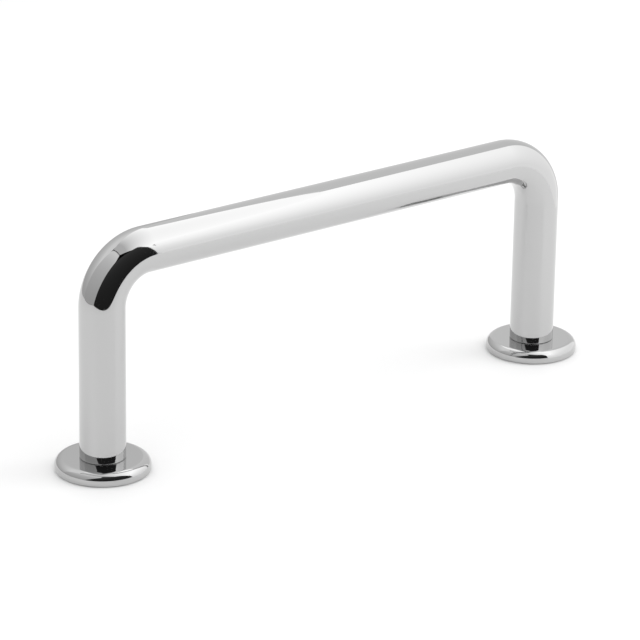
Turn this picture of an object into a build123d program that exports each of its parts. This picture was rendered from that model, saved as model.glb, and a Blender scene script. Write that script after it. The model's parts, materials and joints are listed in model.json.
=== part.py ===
"""Bridge pull handle: a round bar bent into a bow, standing on two turned rosettes.

The bow is one solid bar. Each of its feet is turned down to a spigot, which is tapped for the
screw that comes through the drawer front. A rosette is a flat disc with a rounded rim and a
low collar. It sits on the spigot, and the screw clamps it between the bar's shoulder and the
drawer front.

Frame: origin on the mounting face, midway between the two screws. +X runs along the grip,
+Z points away from the drawer front. All sizes are in millimetres.
"""

from build123d import *
from math import radians, tan
import os

# Bow
hole_spacing = 96.0  # between the axes of the two screws
grip_height = 38.0  # from the mounting face to the axis of the grip
bar_diameter = 8.0
bend_radius = 8.7  # of both bends, at the axis of the bar
shoulder_chamfer = 0.2  # broken edge of the bar above the collar

# Rosettes
rosette_diameter = 17.0
rosette_thickness = 1.5
rim_round = 0.9  # upper edge of the rim
base_chamfer = 0.2  # lower edge of the rim
collar_height = 0.8
collar_setback = 0.1  # the collar stands this far inside the surface of the bar
collar_chamfer = 0.15  # broken upper edge of the collar

# Tapped holes, for M4 screws
thread_diameter = 4.0
thread_pitch = 0.7
tapped_depth = 11.0  # full diameter, from the end of the spigot
drill_point_angle = 118.0

# Spigots and their seats in the rosettes
spigot_wall = 0.7  # metal left round the thread
spigot_clearance = 0.05  # between the spigot and the rosette's bore, on the radius
spigot_recess = 0.3  # the spigot stops this far short of the mounting face
spigot_chamfer = 0.3
bore_chamfer = 0.2  # at both ends of the rosette's bore
least_land = 0.05  # flat that must stay beside a broken edge on a thin wall

# Worked out from the sizes above
foot_x = hole_spacing / 2
shoulder_height = rosette_thickness + collar_height
bar_radius = bar_diameter / 2
mouth_radius = thread_diameter / 2
tap_drill_radius = (thread_diameter - thread_pitch) / 2
spigot_radius = mouth_radius + spigot_wall
bore_radius = spigot_radius + spigot_clearance
disc_radius = rosette_diameter / 2
collar_radius = bar_radius - collar_setback


def edge_break(size, wall):
    """The size of a chamfer or rounding, limited so that a thin wall keeps its land."""
    return min(size, wall - least_land)


def bow_axis():
    """The bar's centreline, from the left shoulder over the grip to the right shoulder."""
    return FilletPolyline(
        (-foot_x, 0, shoulder_height),
        (-foot_x, 0, grip_height),
        (foot_x, 0, grip_height),
        (foot_x, 0, shoulder_height),
        radius=bend_radius,
    )


def bent_bar():
    """The round bar with its two bends, cut square at the shoulders, whose edges are broken."""
    axis = bow_axis()
    section = Plane(origin=axis @ 0, z_dir=axis % 0) * Circle(bar_radius)
    bar = sweep(section, path=axis)
    shoulder_edges = bar.edges().filter_by(Plane.XY).group_by(Axis.Z)[0]
    return chamfer(shoulder_edges, edge_break(shoulder_chamfer, bar_radius - spigot_radius))


def spigot():
    """The turned-down end of one foot, on the Z axis."""
    pin = Pos(0, 0, spigot_recess) * Cylinder(
        spigot_radius,
        shoulder_height - spigot_recess,
        align=(Align.CENTER, Align.CENTER, Align.MIN),
    )
    end = pin.edges().group_by(Axis.Z)[0]
    return chamfer(end, edge_break(spigot_chamfer, spigot_wall))


def tapped_hole():
    """The hole for one screw, on the Z axis: countersunk mouth, tap drill's bore, drill point."""
    mouth_depth = mouth_radius - tap_drill_radius
    point_depth = tap_drill_radius / tan(radians(drill_point_angle / 2))
    bore_end = spigot_recess + tapped_depth
    with BuildPart() as hole:
        with BuildSketch(Plane.XZ):
            with BuildLine():
                Polyline(
                    (0, spigot_recess),
                    (mouth_radius, spigot_recess),
                    (tap_drill_radius, spigot_recess + mouth_depth),
                    (tap_drill_radius, bore_end),
                    (0, bore_end + point_depth),
                    close=True,
                )
            make_face()
        revolve(axis=Axis.Z)
    return hole.part


def handle_bar():
    """The whole bow: the bent bar with a spigot and a tapped hole at each foot."""
    bow = bent_bar()
    for x in (-foot_x, foot_x):
        bow = bow + Pos(x, 0, 0) * spigot()
        bow = bow - Pos(x, 0, 0) * tapped_hole()
    return bow


def rosette():
    """One turned rosette, on the Z axis: disc, rounded rim, collar and a bore for the spigot."""
    with BuildPart() as turned:
        with BuildSketch(Plane.XZ):
            with BuildLine():
                Polyline(
                    (bore_radius, 0),
                    (disc_radius, 0),
                    (disc_radius, rosette_thickness),
                    (collar_radius, rosette_thickness),
                    (collar_radius, shoulder_height),
                    (bore_radius, shoulder_height),
                    close=True,
                )
            make_face()
        revolve(axis=Axis.Z)
        lower_rim, upper_rim = rings(turned, disc_radius)
        collar_edge = rings(turned, collar_radius)[-1]
        collar_wall = (collar_radius - bore_radius) / 2
        bore_edges = rings(turned, bore_radius)
        chamfer(lower_rim, base_chamfer)
        fillet(upper_rim, edge_break(rim_round, rosette_thickness - base_chamfer))
        chamfer(collar_edge, edge_break(collar_chamfer, collar_wall))
        chamfer(bore_edges, edge_break(bore_chamfer, collar_wall))
    return turned.part


def rings(turned, radius):
    """The round edges of one radius on a turned piece, from the lowest to the highest."""
    circles = turned.edges().filter_by(GeomType.CIRCLE)
    return circles.filter_by(lambda edge: abs(edge.radius - radius) < 1e-6).sort_by(Axis.Z)


def main():
    os.makedirs("parts", exist_ok=True)
    nodes = {"handle_bar": handle_bar()}
    for name, x in (("left_rosette", -foot_x), ("right_rosette", foot_x)):
        nodes[name] = Pos(x, 0, 0) * rosette()
    for name, shape in nodes.items():
        export_step(shape, f"parts/{name}.step")
        size = shape.bounding_box().size
        print(f"{name}: {len(shape.solids())} solid, {shape.volume:.0f} mm3,", end=" ")
        print(f"{size.X:.2f} x {size.Y:.2f} x {size.Z:.2f} mm")


main()
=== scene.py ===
# %% [markdown]
# # A bridge pull handle in polished chrome
# A bridge handle is one round steel bar, bent twice into a bow, with a flat turned rosette under
# each foot. A CAD program has already made its solids at their real sizes. This lesson dresses
# them: it gives the bar and the rosettes surfaces smooth enough for a mirror finish, cuts the real
# threads, and sets the handle in a small light tent, because chrome shows only what surrounds it.
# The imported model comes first, as a fixed frame that every piece is measured from.

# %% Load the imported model
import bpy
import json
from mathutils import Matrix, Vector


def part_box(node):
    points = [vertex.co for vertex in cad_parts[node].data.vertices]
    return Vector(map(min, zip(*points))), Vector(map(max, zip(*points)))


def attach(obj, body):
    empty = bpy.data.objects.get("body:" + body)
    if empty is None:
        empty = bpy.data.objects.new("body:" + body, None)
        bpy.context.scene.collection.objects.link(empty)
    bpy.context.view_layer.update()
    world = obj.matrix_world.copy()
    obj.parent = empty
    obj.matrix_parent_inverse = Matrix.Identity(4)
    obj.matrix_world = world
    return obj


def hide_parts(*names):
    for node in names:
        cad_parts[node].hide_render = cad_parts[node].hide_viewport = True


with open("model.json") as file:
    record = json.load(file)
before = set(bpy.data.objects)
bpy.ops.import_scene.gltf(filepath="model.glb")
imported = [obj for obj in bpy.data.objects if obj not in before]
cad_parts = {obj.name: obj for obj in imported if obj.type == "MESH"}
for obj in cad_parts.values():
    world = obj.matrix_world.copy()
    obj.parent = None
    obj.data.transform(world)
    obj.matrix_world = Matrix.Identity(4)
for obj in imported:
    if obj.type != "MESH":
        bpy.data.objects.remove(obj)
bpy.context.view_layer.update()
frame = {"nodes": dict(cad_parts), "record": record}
print("CAD nodes:", sorted(frame["nodes"]))

# %% Import Blender's modules
import json
from math import pi, radians, tan

import bmesh
import bpy
from mathutils import Matrix, Vector

MM = 0.001  # the frame is in metres, and a workshop drawing is in millimetres

# %% [markdown]
# ## Sizes
# The frame says where things are, so the bow's sizes come from its boxes and its record. What a
# box can't tell, such as the radius of a bend or the width of a broken edge, is repeated from the
# workshop drawing. The rosettes are turned to a truer shape than their solids, further below.

# %% Measure the bow
screw_holes = next(m for m in frame["record"]["mounts"] if m["name"] == "screw_holes")
foot_x = screw_holes["dims"]["spacing_x_mm"] / 2 * MM
bow_low, bow_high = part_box("handle_bar")
bar_radius = bow_high.x - foot_x
grip_height = bow_high.z - bar_radius
bend_radius = 8.7 * MM
bend_height = grip_height - bend_radius
print(f"bar {2 * bar_radius / MM:.1f} mm thick, feet {2 * foot_x / MM:.0f} mm apart,", end=" ")
print(f"axis of the grip {grip_height / MM:.1f} mm up")

# %% Measure a rosette
rosette_low, rosette_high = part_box("left_rosette")
solid_radius = (rosette_high.x - rosette_low.x) / 2
shoulder_height = rosette_high.z
print(f"solid rosette {2 * solid_radius / MM:.1f} mm across, {shoulder_height / MM:.1f} mm high")

# %% [markdown]
# ## Camera
# Small hardware is best shown from well back through a long lens, so that its parallel lines stay
# nearly parallel. The camera looks down on the handle from its front left. It could be aimed with
# a constraint, but three turns and a distance say the same and can be read off a tripod.

# %% Set up the camera
camera_azimuth, camera_elevation, camera_roll = radians(-37.966), radians(21.209), radians(0.936)
camera_distance = 660.51 * MM
camera_target = Vector((-1.58, 0, 16.71)) * MM
lens = bpy.data.cameras.new("long_lens")
lens.sensor_width, lens.lens = 36.0, 211.09
lens.clip_start, lens.clip_end = 0.05, 50.0
camera = bpy.data.objects.new("camera", lens)
turn = Matrix.Rotation(camera_azimuth, 4, "Z")
tilt = Matrix.Rotation(pi / 2 - camera_elevation, 4, "X")
roll = Matrix.Rotation(camera_roll, 4, "Z")
step_back = Matrix.Translation((0, 0, camera_distance))
camera.matrix_world = Matrix.Translation(camera_target) @ turn @ tilt @ roll @ step_back
bpy.context.scene.collection.objects.link(camera)
bpy.context.scene.camera = camera
print("camera at", [round(v / MM) for v in camera.matrix_world.translation], "mm")

# %% [markdown]
# ## Helpers for materials
# Colours are written as the hex values of a colour picker, which are sRGB, while the renderer
# counts light linearly. One function turns one into the other. A second one adds a node with its
# settings and its links, so that each material below reads as a list of its layers.

# %% Colour and node helpers
def linear(hex_colour):
    """The linear RGBA of an sRGB hex colour such as C4C5C4."""
    values = [int(hex_colour[i:i + 2], 16) / 255 for i in (0, 2, 4)]
    return [v / 12.92 if v <= 0.04045 else ((v + 0.055) / 1.055) ** 2.4 for v in values] + [1.0]


def add_node(tree, kind, links=None, sockets=None, **settings):
    """Adds one node. Links and sockets are keyed by the name or the number of its inputs."""
    node = tree.nodes.new("ShaderNode" + kind)
    for name, value in settings.items():
        setattr(node, name, value)
    for key, value in (sockets or {}).items():
        node.inputs[key].default_value = value
    for key, source in (links or {}).items():
        tree.links.new(source, node.inputs[key])
    return node


def new_material(name):
    """An empty node material and its tree."""
    material = bpy.data.materials.new(name)
    material.use_nodes = True
    material.node_tree.nodes.clear()
    return material, material.node_tree

# %% [markdown]
# ## Chrome
# Decorative chrome is a skin of chromium, less than a thousandth of a millimetre thick, over
# polished nickel. It reflects a little over half of the light, almost without a tint, and it has
# no colour of its own. A plain mirror would look like a computer's. A real one was polished on a
# wheel, so it keeps a faint waviness that bends reflections by a fraction of a degree, and a haze
# of the finest wiping marks that only changes how sharp they are.

# %% Polished chrome
def polished_chrome():
    """Bright chromium plate over polished steel: neutral, sharp, faintly wavy reflections."""
    material, tree = new_material("polished_chrome_plate")
    place = add_node(tree, "TexCoord").outputs["Object"]
    wave_length = 2.5 * MM  # of the waviness that wheel polishing leaves
    waviness = add_node(tree, "TexNoise", {"Vector": place},
                        {"Scale": 1 / wave_length, "Detail": 1.0, "Roughness": 0.4})
    mark_width = 0.25 * MM  # real wiping marks are finer: these are as coarse as they need to show
    stretch = add_node(tree, "Mapping", {"Vector": place}, {"Scale": (0.12, 1.0, 0.12)})
    marks = add_node(tree, "TexNoise", {"Vector": stretch.outputs["Vector"]},
                     {"Scale": 1 / mark_width, "Detail": 3.0, "Roughness": 0.6})
    haze = add_node(tree, "MapRange", {"Value": marks.outputs["Fac"]},
                    {"From Min": 0.35, "From Max": 0.75, "To Min": 0.035, "To Max": 0.06})
    wave_bump = add_node(tree, "Bump", {"Height": waviness.outputs["Fac"]},
                         {"Strength": 1.0, "Distance": 0.0006 * MM})
    shader = add_node(tree, "BsdfPrincipled",
                      {"Roughness": haze.outputs["Result"], "Normal": wave_bump.outputs["Normal"]},
                      {"Base Color": linear("BFBFBF"), "Metallic": 1.0})
    add_node(tree, "OutputMaterial", {"Surface": shader.outputs["BSDF"]})
    return material


chrome = polished_chrome()
print("made", chrome.name)

# %% [markdown]
# ## Tapped steel
# The plating bath hardly reaches into a blind hole, so the threads stay bare steel: darker than
# the chrome, and dull from the tap, whose edges leave fine rings round the hole.

# %% Tapped steel
def tapped_steel():
    """Bare free-cutting steel as a tap leaves it: grey, satin, with fine rings."""
    material, tree = new_material("tapped_steel")
    place = add_node(tree, "TexCoord").outputs["Object"]
    ring_spacing = 0.1 * MM  # between the scores that the tap's teeth leave
    across = add_node(tree, "Mapping", {"Vector": place}, {"Scale": (0.1, 0.1, 1.0)})
    scores = add_node(tree, "TexNoise", {"Vector": across.outputs["Vector"]},
                      {"Scale": 1 / ring_spacing, "Detail": 2.0})
    haze = add_node(tree, "MapRange", {"Value": scores.outputs["Fac"]},
                    {"From Min": 0.3, "From Max": 0.7, "To Min": 0.28, "To Max": 0.45})
    bump = add_node(tree, "Bump", {"Height": scores.outputs["Fac"]},
                    {"Strength": 1.0, "Distance": 0.004 * MM})
    shader = add_node(tree, "BsdfPrincipled",
                      {"Roughness": haze.outputs["Result"], "Normal": bump.outputs["Normal"]},
                      {"Base Color": linear("B4B1AC"), "Metallic": 1.0})
    add_node(tree, "OutputMaterial", {"Surface": shader.outputs["BSDF"]})
    return material


steel = tapped_steel()
print("made", steel.name)

# %% [markdown]
# ## From a bmesh to a piece
# Every piece ends the same way: points that lie on each other are merged, the faces are turned
# outwards, edges sharper than a set angle are marked, and the rest is shaded smooth. On a mirror
# the shading matters as much as the shape: where a flat face meets a rounding, plain averaging
# tilts the flat's edge and bends its reflections. A Weighted Normal modifier lets the larger face
# decide, so that flats stay flat.

# %% Finishing helper
SAME_POINT = 0.001 * MM
SHARP_ANGLE = radians(35)  # edges that turn more than this stay sharp


def finish_piece(name, mesh, materials, node):
    """Makes the object, which stands in for a CAD node, hides that node and hangs on the root body.
    """
    bmesh.ops.remove_doubles(mesh, verts=mesh.verts, dist=SAME_POINT)
    bmesh.ops.recalc_face_normals(mesh, faces=mesh.faces)
    for face in mesh.faces:
        face.smooth = True
    for edge in mesh.edges:
        edge.smooth = edge.is_manifold and edge.calc_face_angle() < SHARP_ANGLE
    open_edges = sum(not edge.is_manifold for edge in mesh.edges)
    data = bpy.data.meshes.new(name)
    mesh.to_mesh(data)
    mesh.free()
    for material in materials:
        data.materials.append(material)
    piece = bpy.data.objects.new(name, data)
    bpy.context.scene.collection.objects.link(piece)
    weighting = piece.modifiers.new("flats_stay_flat", "WEIGHTED_NORMAL")
    weighting.keep_sharp = True
    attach(piece, "root")
    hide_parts(node)
    print(f"{name}: {len(data.polygons)} faces, {open_edges} open edges")
    return piece

# %% [markdown]
# ## Helpers for turned shapes
# Everything under the bar was turned on a lathe, and Blender's spin is a lathe: it takes a
# profile through one side of the shape and turns it round the axis. A corner on the profile
# becomes a ring of edges, which a bevel then rounds as a workshop would break the edge.

# %% Turning helpers
AROUND = 128  # segments round a bar or a rosette


def turn_profile(mesh, points, segments=AROUND):
    """Spins a profile of (radius, height) points fully round the Z axis."""
    ring = [mesh.verts.new((radius, 0, height)) for radius, height in points]
    line = [mesh.edges.new(pair) for pair in zip(ring, ring[1:])]
    bmesh.ops.spin(mesh, geom=ring + line, cent=(0, 0, 0), axis=(0, 0, 1), angle=2 * pi,
                   steps=segments, use_merge=True)
    bmesh.ops.remove_doubles(mesh, verts=mesh.verts, dist=SAME_POINT)


def ring_edges(mesh, radius, height):
    """The edges that run round the Z axis at a radius and a height."""
    def on_ring(vert):
        return (abs(Vector(vert.co[:2]).length - radius) < SAME_POINT
                and abs(vert.co.z - height) < SAME_POINT)
    return [edge for edge in mesh.edges if all(on_ring(vert) for vert in edge.verts)]


def break_edge(mesh, radius, height, size, segments=1):
    """Bevels one ring of edges: one segment is a chamfer, several are a rounding."""
    bmesh.ops.bevel(mesh, geom=ring_edges(mesh, radius, height), offset=size, segments=segments,
                    affect="EDGES", profile=0.5, material=-1)


def open_ring(mesh, height):
    """The open edges that lie at a height."""
    return [edge for edge in mesh.edges if edge.is_boundary
            and all(abs(vert.co.z - height) < SAME_POINT for vert in edge.verts)]

# %% [markdown]
# ## The thread
# The screw that holds the handle is an M4. Its hole is drilled 3.3 mm wide with a twist drill,
# whose tip leaves a cone at the bottom, and then tapped. A bump or a stack of rings could stand in
# for the thread, but a thread is a helix, and a spin that also climbs makes a real one: the
# profile of one pitch goes round once for every pitch that it rises. Both feet get the same
# right-hand thread, so the second foot is a turned copy of the first and not a mirrored one.

# %% Cut one thread
thread_pitch = 0.7 * MM
thread_root = 2.0 * MM  # half of the M4 screw's diameter
thread_crest = thread_root - thread_pitch / 2  # the tap drill's radius
spigot_end = bow_low.z
thread_start = spigot_end + thread_root - thread_crest  # above the countersunk mouth
thread_end = spigot_end + 10.0 * MM
flank_angle = radians(30)  # of a metric thread, from a plane across the screw
TURN_STEPS = 48


def cut_thread(mesh):
    """The helical wall of the hole between the two heights, open at both ends."""
    flank = (thread_root - thread_crest) * tan(flank_angle)
    crest_land, root_land = thread_pitch / 4, thread_pitch * 3 / 4 - 2 * flank
    base = thread_start - 1.5 * thread_pitch
    rise = (0, crest_land, crest_land + flank, crest_land + flank + root_land, thread_pitch)
    radii = (thread_crest, thread_crest, thread_root, thread_root, thread_crest)
    tooth = [mesh.verts.new((radius, 0, base + up)) for radius, up in zip(radii, rise)]
    line = [mesh.edges.new(pair) for pair in zip(tooth, tooth[1:])]
    turns = round((thread_end - thread_start) / thread_pitch) + 3
    bmesh.ops.spin(mesh, geom=tooth + line, cent=(0, 0, 0), axis=(0, 0, 1), angle=2 * pi * turns,
                   dvec=(0, 0, thread_pitch / TURN_STEPS), steps=TURN_STEPS * turns)
    bmesh.ops.remove_doubles(mesh, verts=mesh.verts, dist=SAME_POINT)
    for height, side in ((thread_start, -1), (thread_end, 1)):
        bmesh.ops.bisect_plane(mesh, geom=[*mesh.verts, *mesh.edges, *mesh.faces],
                               plane_co=(0, 0, height), plane_no=(0, 0, side),
                               dist=SAME_POINT / 10, clear_outer=True)
    print(f"thread: M{2 * thread_root / MM:.0f} x {thread_pitch / MM}, {turns - 3} turns")

# %% [markdown]
# ## One foot
# Under its shoulder the bar is turned down to a spigot, which centres the rosette. The foot is
# made once, round the Z axis. Its outside is one profile, the blind end of the hole another, and
# the thread is bridged to both. The countersunk mouth is the bridge between the spigot's end and
# the first turn.

# %% Make one foot
foot_top = shoulder_height + 1.0 * MM
shoulder_break = 0.2 * MM
spigot_radius = 2.7 * MM
spigot_break = 0.3 * MM
bore_end = spigot_end + 11.0 * MM
drill_point = thread_crest / tan(radians(118 / 2))  # the cone that a standard twist drill leaves


def make_foot():
    """The bar's end with its spigot and its tapped hole, round the Z axis."""
    foot = bmesh.new()
    cut_thread(foot)
    runout = thread_end + thread_pitch / 2
    turn_profile(foot, [(thread_crest, runout), (thread_crest, bore_end),
                        (0, bore_end + drill_point)], TURN_STEPS)
    turn_profile(foot, [(bar_radius, foot_top), (bar_radius, shoulder_height),
                        (spigot_radius, shoulder_height), (spigot_radius, spigot_end),
                        (thread_root, spigot_end)])
    bmesh.ops.bridge_loops(foot, edges=open_ring(foot, thread_end) + open_ring(foot, runout))
    bmesh.ops.bridge_loops(foot, edges=open_ring(foot, thread_start) + open_ring(foot, spigot_end))
    break_edge(foot, bar_radius, shoulder_height, shoulder_break, 4)
    break_edge(foot, spigot_radius, spigot_end, spigot_break)
    for face in foot.faces:
        inside = all(Vector(vert.co[:2]).length < thread_root + SAME_POINT for vert in face.verts)
        face.material_index = int(inside)
    bmesh.ops.translate(foot, verts=foot.verts, vec=(-foot_x, 0, 0))
    return foot

# %% [markdown]
# ## The bow
# The bar itself grows from the open top of the left foot, the way a bending machine would feed
# it: a straight run is an extrusion, and each bend is a spin of the same ring of edges through a
# quarter turn. A curve with a round bevel would be quicker, but its bends are only as round as
# its control points. The right foot is the left one turned half round.

# %% Bend the bow
BEND_STEPS = 48


def run_straight(mesh, ring, vector):
    """Extrudes an open ring of edges along a vector and returns its far end."""
    made = bmesh.ops.extrude_edge_only(mesh, edges=ring)["geom"]
    bmesh.ops.translate(mesh, verts=[g for g in made if isinstance(g, bmesh.types.BMVert)],
                        vec=vector)
    return [g for g in made if isinstance(g, bmesh.types.BMEdge) and g.is_boundary]


def bend(mesh, ring, centre_x):
    """Spins an open ring of edges through a quarter turn and returns its far end."""
    verts = list({vert for edge in ring for vert in edge.verts})
    made = bmesh.ops.spin(mesh, geom=verts + ring, cent=(centre_x, 0, bend_height),
                          axis=(0, 1, 0), angle=pi / 2, steps=BEND_STEPS)["geom_last"]
    return [g for g in made if isinstance(g, bmesh.types.BMEdge)]


bow = make_foot()
far_foot = bmesh.ops.duplicate(bow, geom=[*bow.verts, *bow.edges, *bow.faces])["geom"]
ring = [edge for edge in open_ring(bow, foot_top) if edge.verts[0].co.x < 0
        and edge not in far_foot]
bmesh.ops.rotate(bow, verts=[g for g in far_foot if isinstance(g, bmesh.types.BMVert)],
                 cent=(0, 0, 0), matrix=Matrix.Rotation(pi, 3, "Z"))
leg = Vector((0, 0, bend_height - foot_top))
bend_x = foot_x - bend_radius
ring = run_straight(bow, ring, leg)
ring = bend(bow, ring, -bend_x)
ring = run_straight(bow, ring, Vector((2 * bend_x, 0, 0)))
ring = bend(bow, ring, bend_x)
run_straight(bow, ring, -leg)
chromed_bow = finish_piece("chromed_bow", bow, [chrome, steel], "handle_bar")

# %% [markdown]
# ## The rosettes
# A rosette is one thick disc with a generously rounded rim, and the bar stands straight on its
# flat top, where it is mirrored. The solid is simpler and has a thinner disc with a collar. The
# turned piece is as high as both together and stays inside the solid's box. It is turned in one
# setting, so one profile spun round the axis gives all of it, and bevels give it its rounding.

# %% Turn the rosettes
disc_radius = 8.3 * MM
rim_round = 1.4 * MM
base_round = 0.3 * MM  # softer than the solid's chamfer of 0.2 mm
bore_radius = spigot_radius + 0.05 * MM
bore_break = 0.2 * MM


def turn_rosette(name, centre_x, node):
    """Disc and bore in one profile, with the rim rounded and the other edges broken."""
    rosette = bmesh.new()
    profile = [(bore_radius, 0), (disc_radius, 0), (disc_radius, shoulder_height),
               (bore_radius, shoulder_height), (bore_radius, 0)]
    turn_profile(rosette, profile, 2 * AROUND)
    break_edge(rosette, disc_radius, shoulder_height, rim_round, 16)
    break_edge(rosette, disc_radius, 0, base_round, 4)
    for height in (0, shoulder_height):
        break_edge(rosette, bore_radius, height, bore_break)
    bmesh.ops.translate(rosette, verts=rosette.verts, vec=(centre_x, 0, 0))
    return finish_piece(name, rosette, [chrome], node)


chromed_rosette_left = turn_rosette("chromed_rosette_left", -foot_x, "left_rosette")
chromed_rosette_right = turn_rosette("chromed_rosette_right", foot_x, "right_rosette")

# %% [markdown]
# ## Studio
# Chrome shows its surroundings, so the studio is half of the picture. The handle stands on a
# white board, in a small tent of white cloth with a large soft lamp in its right wall. The tent
# is open at the front, where the dark room shows. The board is lit by a plain white world and a
# soft lamp on the right, which give it even light and one faint shadow.

# %% Lay the floor
def add_stage(name, mesh, material):
    """Links a piece of the studio, which isn't part of the handle."""
    data = bpy.data.meshes.new(name)
    mesh.to_mesh(data)
    mesh.free()
    data.materials.append(material)
    thing = bpy.data.objects.new(name, data)
    bpy.context.scene.collection.objects.link(thing)
    return thing


def white_board():
    """Satin white board: almost all of its light is scattered, with a weak broad gloss."""
    material, tree = new_material("satin_white_board")
    shader = add_node(tree, "BsdfPrincipled", None,
                      {"Base Color": linear("F0F0F0"), "Roughness": 0.5,
                       "Specular IOR Level": 0.25})
    add_node(tree, "OutputMaterial", {"Surface": shader.outputs["BSDF"]})
    return material


board_drop = 0.01 * MM  # keeps the board's face out of the undersides that rest on it
board = bmesh.new()
bmesh.ops.create_circle(board, cap_ends=True, segments=64, radius=5.0,
                        matrix=Matrix.Translation((0, 0, -board_drop)))
floor = add_stage("floor", board, white_board())
print("laid", floor.name)

# %% [markdown]
# ## The tent
# Each wall of the tent is a flat panel that glows, brighter towards one end, as cloth does near
# a lamp. Only reflections see the panels: they cast no light on the board and hide nothing from
# the camera. A panel could be a lamp itself, but a lamp glows evenly, and the gradients are what
# make a round bar look round. A panel that leans is given by its corners, in millimetres.

# %% Hang the tent
def glowing_cloth(name, axis, start, end, dim, bright):
    """Cloth whose glow changes evenly along one axis, from a start to an end in mm."""
    material, tree = new_material(name)
    place = add_node(tree, "TexCoord").outputs["Object"]
    along = add_node(tree, "SeparateXYZ", {"Vector": place}).outputs[axis]
    glow = add_node(tree, "MapRange", {"Value": along},
                    {"From Min": start * MM, "From Max": end * MM, "To Min": dim, "To Max": bright})
    shader = add_node(tree, "Emission", {"Strength": glow.outputs["Result"]})
    add_node(tree, "OutputMaterial", {"Surface": shader.outputs["Emission"]})
    material.cycles.emission_sampling = "NONE"
    return material


def hang_panel(name, corners, axis, start, end, dim, bright):
    """One flat panel between corners in mm, seen by reflections only."""
    mesh = bmesh.new()
    mesh.faces.new([mesh.verts.new(Vector(corner) * MM) for corner in corners])
    panel = add_stage(name, mesh, glowing_cloth(name, axis, start, end, dim, bright))
    panel.visible_camera = panel.visible_diffuse = panel.visible_shadow = False
    print(f"hung {name}, glow {dim} to {bright}")


hang_panel("lamp_wall", [(130, 24, -5), (130, -240, -5), (130, -240, 230), (130, 24, 230)],
           "Z", 30, 225, 1.3, 1.9)
hang_panel("right_wall_back", [(130, 240, -5), (130, 24, -5), (130, 24, 230), (130, 240, 230)],
           "Z", 0, 230, 0.85, 0.95)
hang_panel("back_wall", [(-290, 240, -5), (130, 240, -5), (130, 240, 600), (-290, 240, 600)],
           "Z", 30, 300, 0.6, 1.1)
hang_panel("left_wall", [(-290, 240, -5), (-290, -300, -5), (-290, -300, 700), (-290, 240, 700)],
           "Z", 30, 600, 0.55, 1.05)
hang_panel("roof", [(-282, 250, 720), (-282, -300, 720), (140, -300, 215), (140, 250, 215)],
           "X", -120, 130, 0.75, 1.85)
# The open front shows the dark room, from the board's front edge up to the edge of the roof.
hang_panel("front_opening", [(-330, -47, 0), (51, -139, 0), (55, -185, 150), (28, -250, 340),
                             (-291, -291, 450)], "Z", 0, 340, 0.02, 0.06)
hang_panel("front_wing", [(48, -145, -3), (135, -165, -3), (135, -330, 330), (-40, -330, 530)],
           "Z", 30, 225, 1.3, 1.9)

# %% [markdown]
# ## Lights
# The world lights the board and gives the plain white background. It stays out of reflections,
# where the tent takes its place. The lamp on the right gives the faint shadow at each foot.

# %% Light the board
world = bpy.data.worlds.new("white_room")
world.use_nodes = True
background = world.node_tree.nodes["Background"]
background.inputs["Color"].default_value = (1, 1, 1, 1)
background.inputs["Strength"].default_value = 1.16
world.cycles_visibility.glossy = False
bpy.context.scene.world = world

# %% Add the lamp on the right
key_data = bpy.data.lights.new("key_lamp", "AREA")
key_data.size, key_data.energy = 0.4, 1.2
key = bpy.data.objects.new("key_lamp", key_data)
key.location = (0.5, -0.2, 0.5)
key.rotation_euler = (-key.location).to_track_quat("-Z", "Y").to_euler()
key.visible_glossy = False
bpy.context.scene.collection.objects.link(key)
bpy.context.scene.view_settings.view_transform = "Standard"
print("lit by", world.name, "and", key.name)
